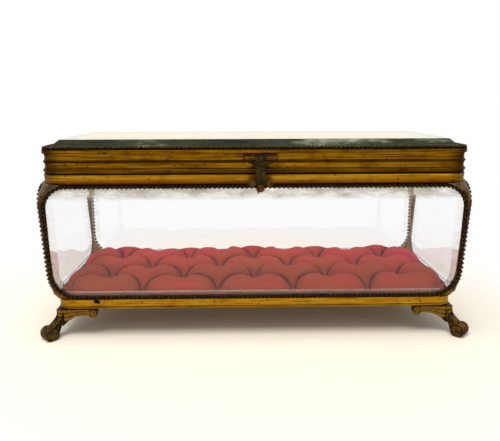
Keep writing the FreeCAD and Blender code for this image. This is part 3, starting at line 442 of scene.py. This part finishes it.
def addPiece(name, points, faces, finish, body, marks):
    # a new smooth object from whole arrays in mm, riding on a body, with its marks as point attributes
    mesh = bpy.data.meshes.new(name)
    mesh.from_pydata((points * mm).tolist(), [], faces)
    mesh.polygons.foreach_set("use_smooth", np.ones(len(mesh.polygons), bool))
    for mark, values in marks.items():
        mesh.attributes.new(mark, "FLOAT", "POINT").data.foreach_set("value", values.astype(np.float32))
    mesh.materials.append(finish)
    obj = bpy.data.objects.new(name, mesh)
    scene.collection.objects.link(obj)
    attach(obj, body)
    return obj


def gridFaces(rows, columns, closed=False):
    # quads of a rows by columns grid of points, joined end to start along the columns when closed
    index = np.arange(rows * columns).reshape(rows, columns)
    if closed:
        index = np.concatenate([index, index[:, :1]], axis=1)
    return np.stack([index[:-1, :-1], index[:-1, 1:], index[1:, 1:], index[1:, :-1]], -1).reshape(-1, 4)


def roundedLoop(halfLength, low, high, lowRadius, highRadius, count):
    # points evenly spaced round a rectangle with rounded corners, from the middle of its foot, and their
    # directions: four arcs joined by straight runs, walked by length, and a short step ahead from each point
    arcSteps, stepAhead = 40, 0.05
    foot, head = halfLength - lowRadius, halfLength - highRadius
    corner = [(foot, low + lowRadius, lowRadius, -90), (head, high - highRadius, highRadius, 0),
              (-head, high - highRadius, highRadius, 90), (-foot, low + lowRadius, lowRadius, 180)]
    line = [np.array([[0.0, low]])]
    for x, y, radius, start in corner:
        angle = np.radians(np.linspace(start, start + 90, arcSteps))
        line.append(np.stack([x + radius * np.cos(angle), y + radius * np.sin(angle)], -1))
    line = np.concatenate(line + [line[0]])
    run = np.concatenate([[0], np.cumsum(np.linalg.norm(np.diff(line, axis=0), axis=1))])
    at = np.arange(count) / count * run[-1]
    after = (at + stepAhead) % run[-1]
    points = np.stack([np.interp(at, run, line[:, i]) for i in (0, 1)], -1)
    ahead = np.stack([np.interp(after, run, line[:, i]) for i in (0, 1)], -1) - points
    return points, ahead / np.linalg.norm(ahead, axis=1, keepdims=True)


# beaded borders: one small dome for each bead, on the flat strip of the CAD border; mm, degrees and counts.
# The rear row sits further in from the strip's edge, and the beads at the ends and on the lid stand taller.
beading = dict(radius=1.36, length=1.42, height=1.35, sink=0.25, around=8, rings=3)
panel = dict(foot=28.8, tilt=2.5, proud=0.3, low=1.1, high=82.28, lowRadius=19.1, highRadius=16.1)
longWall = dict(halfClear=145.1, half=56.56, count=226, inward=0.6, bead=beading)
shortWall = dict(halfClear=54.1, half=146.56, count=106, inward=0.6, bead=dict(beading, height=2.0))
walls = dict(front=dict(longWall, turn=0), rear=dict(longWall, turn=180, inward=1.5),
             left=dict(shortWall, turn=-90), right=dict(shortWall, turn=90))
lidRow = dict(halfLength=144.4, halfDepth=54.4, radius=4.6, count=264, level=136.2,
              bead=dict(beading, height=1.9, radius=1.4))


def beadDome(bead):
    # dome: angle round the bead by angle up from its foot; an ellipse in plan, closed by a point at the
    # crown and a flat foot
    turn = np.linspace(0, 2 * np.pi, bead["around"], endpoint=False)
    climb = np.linspace(0, np.pi / 2, bead["rings"], endpoint=False)[:, None]
    ring = np.stack([np.cos(climb) * np.cos(turn) * bead["length"],
                     np.cos(climb) * np.sin(turn) * bead["radius"],
                     np.sin(climb) * np.ones_like(turn) * bead["height"]], -1).reshape(-1, 3)
    points = np.concatenate([ring, [[0, 0, bead["height"]]]]) - (0, 0, bead["sink"])
    quads = gridFaces(bead["rings"], bead["around"], closed=True)
    top = (bead["rings"] - 1) * bead["around"] + np.arange(bead["around"])
    cap = np.stack([top, np.roll(top, -1), np.full(bead["around"], len(points) - 1)], -1)
    foot = np.arange(bead["around"])[None, ::-1]
    return points, quads, cap, foot


def beadRow(name, bead, loop, ahead, lift, finish, body):
    # each bead is the dome set along the line's direction; lift turns (along, across, out) into the
    # model's frame
    dome, *patches = beadDome(bead)
    across = np.stack([-ahead[:, 1], ahead[:, 0]], -1)
    flat = loop[:, None] + dome[None, :, :1] * ahead[:, None] + dome[None, :, 1:2] * across[:, None]
    points = lift(flat.reshape(-1, 2), np.tile(dome[:, 2], len(loop)))
    step = np.arange(len(loop))[:, None, None] * len(dome)
    faces = [face for patch in patches for face in (patch + step).reshape(-1, patch.shape[1]).tolist()]
    height = np.tile((dome[:, 2] + bead["sink"]) / bead["height"], len(loop))
    addPiece(name, points, faces, finish, body, {"proud": height})


def panelLift(half, turn):
    # panel plane to model: it leans out by the tilt as it climbs, and turns about z to its own wall
    lean, spin = math.radians(panel["tilt"]), math.radians(turn)

    def lift(flat, out):
        out = out + panel["proud"]
        depth = -(half + flat[:, 1] * math.sin(lean)) - out * math.cos(lean)
        z = panel["foot"] + flat[:, 1] * math.cos(lean) - out * math.sin(lean)
        return np.stack([flat[:, 0] * math.cos(spin) - depth * math.sin(spin),
                         flat[:, 0] * math.sin(spin) + depth * math.cos(spin), z], -1)
    return lift


def lidLift(flat, out):
    # the lid's row lies level
    return np.column_stack([flat, lidRow["level"] + out])


for side, wall in walls.items():
    inner = wall["inward"]
    loop, ahead = roundedLoop(wall["halfClear"] - inner, panel["low"] + inner, panel["high"] - inner,
                              panel["lowRadius"] - inner, panel["highRadius"] - inner, wall["count"])
    lift = panelLift(wall["half"], wall["turn"])
    beadRow(f"{side}_beads", wall["bead"], loop, ahead, lift, beadBrass, "case")
loop, ahead = roundedLoop(lidRow["halfLength"], -lidRow["halfDepth"], lidRow["halfDepth"],
                          lidRow["radius"], lidRow["radius"], lidRow["count"])
beadRow("lid_beads", lidRow["bead"], loop, ahead, lidLift, lidBeadBrass, "lid")
print("bead rows made")

# feet: reeding on the wings and legs and rolled volutes, laid over the CAD feet; mm and degrees from the
# case's lower corner, arcs as centre and radius, grids as counts of points
footForm = dict(
    corner=(-143.4, -53.4, 20.7), lowest=0.05, reedRound=0.8, reedSunk=-0.6,
    wingStart=-0.4, wingLength=22.6, wingTop=-0.25, wingHem=0.2, wingLow=-9.3, wingProud=0.6,
    wingGrid=(30, 40), lowArc=(19.97, -25.44, 20.7), reeds=3, reedHeight=0.5,
    startFade=1.2, endFade=1.0, runOut=0.2,
    scroll=(25.2, -3.4), scrollRadius=3.25,
    coil=1.5, coilHeight=0.45, coilEye=0.9, coilStart=0.05, coilSunk=-0.8, coilGrid=(28, 13),
    legArc=(-14.43, 4.87, 18.63), legTurn=(-15.2, -66.0), legHalf=3.9, legReeds=4, legHeight=0.55,
    legGrid=(26, 49), legRub=0.25,
    toe=(-7.1, -16.4), toeRadius=4.6, toeTurn=(84.0, 232.0), toeHalf=(4.4, 5.35), toeSteps=24,
    volute=4.2, voluteReach=5.5, voluteRub=0.5)


def reedBand(form, count, t):
    # height of a row of half-round reeds across t from 0 to 1, let into the solid at both edges
    wave = np.abs(np.sin(np.pi * count * t)) ** form["reedRound"]
    return np.where((t == 0) | (t == 1), form["reedSunk"], wave)


def wingSheet(form):
    # wing face: u runs from the corner to the scroll, t from the top edge to the hollow lower edge; reeds
    # stand out and run into the metal at both ends
    long, deep = form["wingGrid"]
    start, end = form["wingStart"], form["wingLength"]
    u, t = np.meshgrid(np.linspace(start, end, long), np.linspace(0, 1, deep), indexing="ij")
    x, z, radius = form["lowArc"]
    low = np.maximum(z + np.sqrt(radius ** 2 - (u - x) ** 2), form["wingLow"])
    ends = np.clip(np.minimum((u - start) / form["startFade"], (end - u) / form["endFade"]), 0, 1)
    band = reedBand(form, form["reeds"], t)
    shown = np.minimum(band, ends * (1 + form["runOut"]) - form["runOut"])
    out = form["wingProud"] + form["reedHeight"] * shown
    height = form["wingTop"] + (low + form["wingHem"] - form["wingTop"]) * t
    return np.stack([u, -out, height], -1), np.clip(band, 0, 1)


def coilDisc(form, radius):
    # flat spiral: height rises and falls with the distance from the centre less the angle, and sinks at
    # the rim
    around, outwards = form["coilGrid"]
    turn, r = np.meshgrid(np.linspace(0, 2 * np.pi, around, endpoint=False),
                          np.linspace(form["coilStart"], 1, outwards) * radius, indexing="ij")
    wave = 0.5 + 0.5 * np.cos(2 * np.pi * r / form["coil"] - turn)
    eye = np.exp(-(r / form["coilEye"]) ** 2)
    lift = np.maximum(wave, eye) * np.where(r == radius, form["coilSunk"], 1)
    return np.stack([r * np.cos(turn), r * np.sin(turn), form["coilHeight"] * lift], -1), np.clip(lift, 0, 1)


def onDiagonal(inwards, across, height):
    # the leg's own plane to the model: inwards runs along (1, 1), the width along (1, -1)
    return np.stack([(inwards + across) * math.sqrt(0.5), (inwards - across) * math.sqrt(0.5), height], -1)


def legSheet(form):
    # leg face: down the hollow arc of the leg, then round the rolled toe; reeds across its width
    steps, wide = form["legGrid"]
    down = np.radians(np.linspace(*form["legTurn"], steps))
    over = np.radians(np.linspace(*form["toeTurn"], form["toeSteps"]))
    down, over = (np.stack([np.cos(turn), np.sin(turn)], -1) for turn in (down, over))
    x, z, radius = form["legArc"]
    line = np.concatenate([(x, z) + radius * down, form["toe"] + form["toeRadius"] * over])
    out = np.concatenate([-down, over])
    half = np.concatenate([np.full(steps, form["legHalf"]), np.linspace(*form["toeHalf"], form["toeSteps"])])
    t = np.linspace(0, 1, wide)
    band = reedBand(form, form["legReeds"], t)
    spot = line[:, None] + out[:, None] * (form["legHeight"] * band)[None, :, None]
    across = half[:, None] * (2 * t - 1)
    return onDiagonal(spot[..., 0], across, spot[..., 1]), np.broadcast_to(np.clip(band, 0, 1), across.shape)


def sheetPart(points, proud, closed=False, turned=False):
    # a sheet's points, how far each is rubbed, and its quads; a closed one runs round its first parameter
    if closed:
        points, proud = points.swapaxes(0, 1), proud.swapaxes(0, 1)
    quads = gridFaces(*points.shape[:2], closed)
    return points.reshape(-1, 3), proud.reshape(-1), quads[:, ::-1] if turned else quads


def makeFoot(name, form, flipX, flipY):
    # one foot's sheets, joined and mirrored to its corner: two wings with their scrolls, which swap x and y,
    # the leg, and a volute on each end of the toe
    swapped = [1, 0, 2]
    wing, reed = wingSheet(form)
    disc, coil = coilDisc(form, form["scrollRadius"])
    scroll = np.stack([form["scroll"][0] - disc[..., 0], -form["wingProud"] - disc[..., 2],
                       form["scroll"][1] + disc[..., 1]], -1)
    leg, ridge = legSheet(form)
    parts = [sheetPart(wing, reed, turned=True), sheetPart(wing[..., swapped], reed),
             sheetPart(scroll, coil, closed=True),
             sheetPart(scroll[..., swapped], coil, closed=True, turned=True),
             sheetPart(leg, form["legRub"] * ridge)]
    disc, coil = coilDisc(form, form["volute"])
    for way in (1, -1):
        end = onDiagonal(form["toe"][0] + disc[..., 0], way * (form["voluteReach"] + disc[..., 2]),
                         form["toe"][1] + disc[..., 1])
        parts.append(sheetPart(end, form["voluteRub"] * coil, closed=True, turned=way < 0))
    points, proud, quads = zip(*parts)
    first = np.cumsum([0] + [len(sheet) for sheet in points[:-1]])
    faces = np.concatenate([sheet + start for sheet, start in zip(quads, first)])
    points = (np.concatenate(points) + form["corner"]) * (flipX, flipY, 1)
    points[:, 2] = np.maximum(points[:, 2], form["lowest"])
    faces = faces[:, ::-1] if flipX * flipY < 0 else faces
    addPiece(name, points, faces.tolist(), castBrass, "case",
             {"proud": np.concatenate(proud)})


for corner, flipX, flipY in zip(corners, (1, -1, 1, -1), (1, 1, -1, -1)):
    makeFoot(f"foot_carving_{corner}", footForm, flipX, flipY)
print("feet carved")

# cushion: silk over wadding, drawn down by ties on a diamond lattice; mm, shares of the crown and counts
quilt = dict(
    halfLength=139.4, halfDepth=49.0, base=30.65, crown=10.0, roll=7.5, coarse=(92, 36), fine=(380, 150),
    column=27.75, row=24.4, fold=0.36, foldWidth=8.0, bow=7.0, pit=0.68, pitWidth=(7.0, 11.0),
    pleat=0.5, pleats=9, pleatReach=11.0, pleatTurn=(7, 3), uneven=0.1, seed=4, cells=40,
    lap=2.0, lapWidth=5.0, lapEdge=8.0, bulge=2.0, tuck=2.6, sideBulge=3.8, sideTuck=6.0, edge=6.0,
    line=1.4, hollow=0.6, rimFade=3.0, rimShade=0.4,
    frames=14, pressure=60.0, cap=1.4, rimHold=0.5, foldHold=1.6, foldLoose=0.35, holdSteps=10)
# fold is the colour of the painted shade in the creases and hollows
silkLook = dict(frontTone="#923E28", mid="#9C3628", rose="#A42A38", fold="#24060A", roseDrift=(0.6, 3.0, 0.0),
                blotch=(38, 30, 30), rib=(0.8, 3.0, 3.0))


def roseSilk(name, look):
    # Ribbed silk: matt rose at the back and browner at the front; painted shade darkens it in the
    # folds and hollows.
    made, tree, shader = newMaterial(name, Roughness=0.85, Specular_IOR_Level=0.1)
    where = addNode(tree, "TexCoord").outputs
    spread = addNode(tree, "Mapping", {"Scale": perMm(*look["blotch"])}, {"Vector": where["Object"]})
    blotch = addNode(tree, "TexNoise", {"Scale": 1.0, "Detail": 3.0}, {"Vector": spread.outputs[0]})
    drift = addNode(tree, "VectorMath", {"operation": "DOT_PRODUCT", 1: look["roseDrift"]}, {0: where["Object"]})
    fade = addNode(tree, "Math", {"operation": "ADD"}, {0: drift.outputs["Value"], 1: blotch.outputs["Fac"]})
    tone = addNode(tree, "ValToRGB", None, {"Fac": fade.outputs[0]},
                   [(0.25, look["frontTone"]), (0.50, look["mid"]), (0.75, look["rose"])])
    # painted shade: the deep mark darkens the creases and hollows towards the fold colour
    deep = addNode(tree, "Attribute", {"attribute_name": "deep"})
    foldShade = addNode(tree, "MapRange", {"From Min": 0.1, "From Max": 0.9, "To Max": 0.95},
                   {"Value": deep.outputs["Fac"]})
    folded = addNode(tree, "Mix", {"data_type": "RGBA", 7: linear(look["fold"])},
                     {0: foldShade.outputs[0], 6: tone.outputs[0]})
    tree.links.new(folded.outputs[2], shader.inputs["Base Color"])
    # the rib is 0.3 mm in the real cloth, drawn at 0.8 mm so that it shows
    rib = addNode(tree, "Mapping", {"Scale": perMm(*look["rib"])}, {"Vector": where["UV"]})
    thread = addNode(tree, "TexNoise", {"Scale": 1.0, "Detail": 2.0}, {"Vector": rib.outputs[0]})
    weave = addNode(tree, "Bump", {"Strength": 0.25, "Distance": 0.15 * mm},
                    {"Height": thread.outputs["Fac"]})
    tree.links.new(weave.outputs[0], shader.inputs["Normal"])
    return made


def quarterRound(d, width):
    # climbs upright from 0 and rounds over to 1 at the width
    return np.sqrt(1 - (1 - np.clip(d / width, 0, 1)) ** 2)


def quiltForm(form, across, deep):
    # plan: a grid bunched towards the edges. rise and fall count the folds of the two diagonals; ties sit
    # where both are whole numbers. Each cell climbs upright from its folds to a flat crown.
    bunched = [t * (1.25 - 0.25 * t * t) for t in (np.linspace(-1, 1, across), np.linspace(-1, 1, deep))]
    x, y = np.meshgrid(form["halfLength"] * bunched[0], form["halfDepth"] * bunched[1])
    column, row = form["column"], form["row"]
    rise, fall = (x / column + y / row - 1) / 2, (x / column - y / row - 1) / 2
    step = 2 / math.hypot(1 / column, 1 / row)
    offRise, offFall = rise - np.round(rise), fall - np.round(fall)
    awayX, awayY = column * (offRise + offFall), row * (offRise - offFall)
    tie = np.hypot(awayX / form["pitWidth"][0], awayY / form["pitWidth"][1])
    # between two ties a fold bows backwards, so that every puff bulges over the one behind it
    bow = form["bow"] / step
    rise, fall = rise - bow * np.abs(np.sin(np.pi * offFall)), fall + bow * np.abs(np.sin(np.pi * offRise))
    # no two cells are stuffed alike
    cells = form["cells"]
    stuffing = np.random.default_rng(form["seed"]).uniform(-1, 1, (cells, cells))
    cellRise, cellFall = (np.floor(count).astype(int) + cells // 2 for count in (rise, fall))
    plump = 1 + form["uneven"] * stuffing[cellRise, cellFall]
    # gathers fan out from each tie
    reach = np.hypot(awayX, awayY) / form["pleatReach"]
    byRise, byFall = form["pleatTurn"]
    turn = form["pleats"] * np.arctan2(awayY, awayX) + byRise * np.round(rise) + byFall * np.round(fall)
    gather = form["pleat"] * np.cos(turn) * reach * np.exp(1 - reach ** 2)
    off = [(rise - np.round(rise)) * step, (np.round(fall) - fall) * step]
    wall = [quarterRound(np.abs(d), form["foldWidth"]) for d in off]
    puff = np.prod([form["fold"] + (1 - form["fold"]) * w for w in wall], axis=0)
    puff = puff * (1 - form["pit"] * np.exp(-tie ** 2))
    inX, inY = form["halfLength"] - np.abs(x), form["halfDepth"] - np.abs(y)
    rolled = quarterRound(inX, form["roll"]) * quarterRound(inY, form["roll"])
    z = form["base"] + (form["crown"] * puff * plump + gather * puff) * rolled
    # the cloth in front of a fold laps back over it
    lap = sum(form["lap"] * w * np.exp(-np.abs(d) / form["lapWidth"]) * (d < 0) for d, w in zip(off, wall))
    y = y + lap * np.clip(inY / form["lapEdge"], 0, 1)
    # the sides swell at the puffs and draw in at the pleats
    inward = np.minimum(inX, inY)
    near = np.exp(-inward / form["edge"])
    x = x + np.sign(x) * near * (form["sideBulge"] * puff - form["sideTuck"] * (1 - puff)) * (inX <= inY)
    y = y + np.sign(y) * near * (form["bulge"] * puff - form["tuck"] * (1 - puff)) * (inY < inX)
    crease = np.max([np.exp(-np.abs(d) / form["line"]) for d in off], axis=0)
    return np.stack([x, y, z], -1), puff, inward, crease


def quiltFaces(deep, across):
    # the top's quads and one flat face underneath, closed along the rim
    index = np.arange(deep * across).reshape(deep, across)
    rim = np.concatenate([index[0], index[1:, -1], index[-1, -2::-1], index[-2:0:-1, 0]])
    return gridFaces(deep, across).tolist() + [rim[::-1].tolist()]


def swell(form):
    # how far wadding pushes the silk out between its ties, on a coarse grid: cloth under pressure, held at
    # the ties and round the rim, and loosely along the folds
    points, puff, inward = quiltForm(form, *form["coarse"])[:3]
    mesh = bpy.data.meshes.new("wadding")
    mesh.from_pydata((points.reshape(-1, 3) * mm).tolist(), [], quiltFaces(*points.shape[:2]))
    silk = bpy.data.objects.new("wadding", mesh)
    scene.collection.objects.link(silk)
    loose = np.clip(form["foldHold"] - puff / form["foldLoose"], 0, 1)
    hold = np.where(inward < form["rimHold"], 1.0, loose).reshape(-1)
    group = silk.vertex_groups.new(name="held")
    steps = form["holdSteps"]
    for level in range(1, steps + 1):
        group.add(np.flatnonzero(np.round(hold * steps) == level).tolist(), level / steps, "REPLACE")
    cloth = silk.modifiers.new("swell", "CLOTH")
    rule = cloth.settings
    rule.quality = 4
    rule.mass = 0.05
    rule.tension_stiffness = rule.compression_stiffness = 8
    rule.shear_stiffness = 3
    rule.bending_stiffness = 0.3
    rule.use_pressure = True
    rule.uniform_pressure_force = form["pressure"]
    rule.vertex_group_mass = "held"
    rule.effector_weights.gravity = 0
    cloth.point_cache.frame_start = 1
    cloth.point_cache.frame_end = form["frames"]
    for number in range(1, form["frames"] + 1):
        scene.frame_set(number)
    done = silk.evaluated_get(bpy.context.evaluated_depsgraph_get()).to_mesh()
    moved = np.zeros(len(done.vertices) * 3, np.float32)
    done.vertices.foreach_get("co", moved)
    shift = moved.reshape(points.shape) / mm - points
    far = np.linalg.norm(shift, axis=-1, keepdims=True)
    scene.frame_set(1)
    bpy.data.objects.remove(silk)
    return shift * np.minimum(1, form["cap"] / np.maximum(far, 1e-9))


def resample(field, across, deep):
    # bilinear, from the coarse grid to the fine one: down the rows, then along them
    for axis, count in enumerate((deep, across)):
        at = np.linspace(0, field.shape[axis] - 1, count)
        low = np.minimum(at.astype(int), field.shape[axis] - 2)
        share = np.expand_dims(at - low, (1 - axis, 2))
        field = np.take(field, low, axis) * (1 - share) + np.take(field, low + 1, axis) * share
    return field


def makeCushion(form):
    # the quilted top with its swell; painted shade: a point is dark in a crease and in a hollow, less so by
    # the rim
    points, puff, inward, crease = quiltForm(form, *form["fine"])
    points = points + resample(swell(form), *form["fine"])
    faces = quiltFaces(*points.shape[:2])
    points = points.reshape(-1, 3)
    shade = np.maximum(crease, form["hollow"] * (1 - puff))
    shade = shade * np.clip(inward / form["rimFade"], form["rimShade"], 1)
    obj = addPiece("tufted_cushion", points, faces, roseSilk("roseSilk", silkLook), "case",
                   {"deep": shade.reshape(-1)})
    # its plan is the UV map that the rib follows
    mesh = obj.data
    corner = np.zeros(len(mesh.loops), np.int32)
    mesh.loops.foreach_get("vertex_index", corner)
    plan = (points[corner, :2] * mm).astype(np.float32)
    mesh.uv_layers.new(name="plan").data.foreach_set("uv", plan.reshape(-1))
    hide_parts("cushion")


makeCushion(quilt)
print("cushion made")
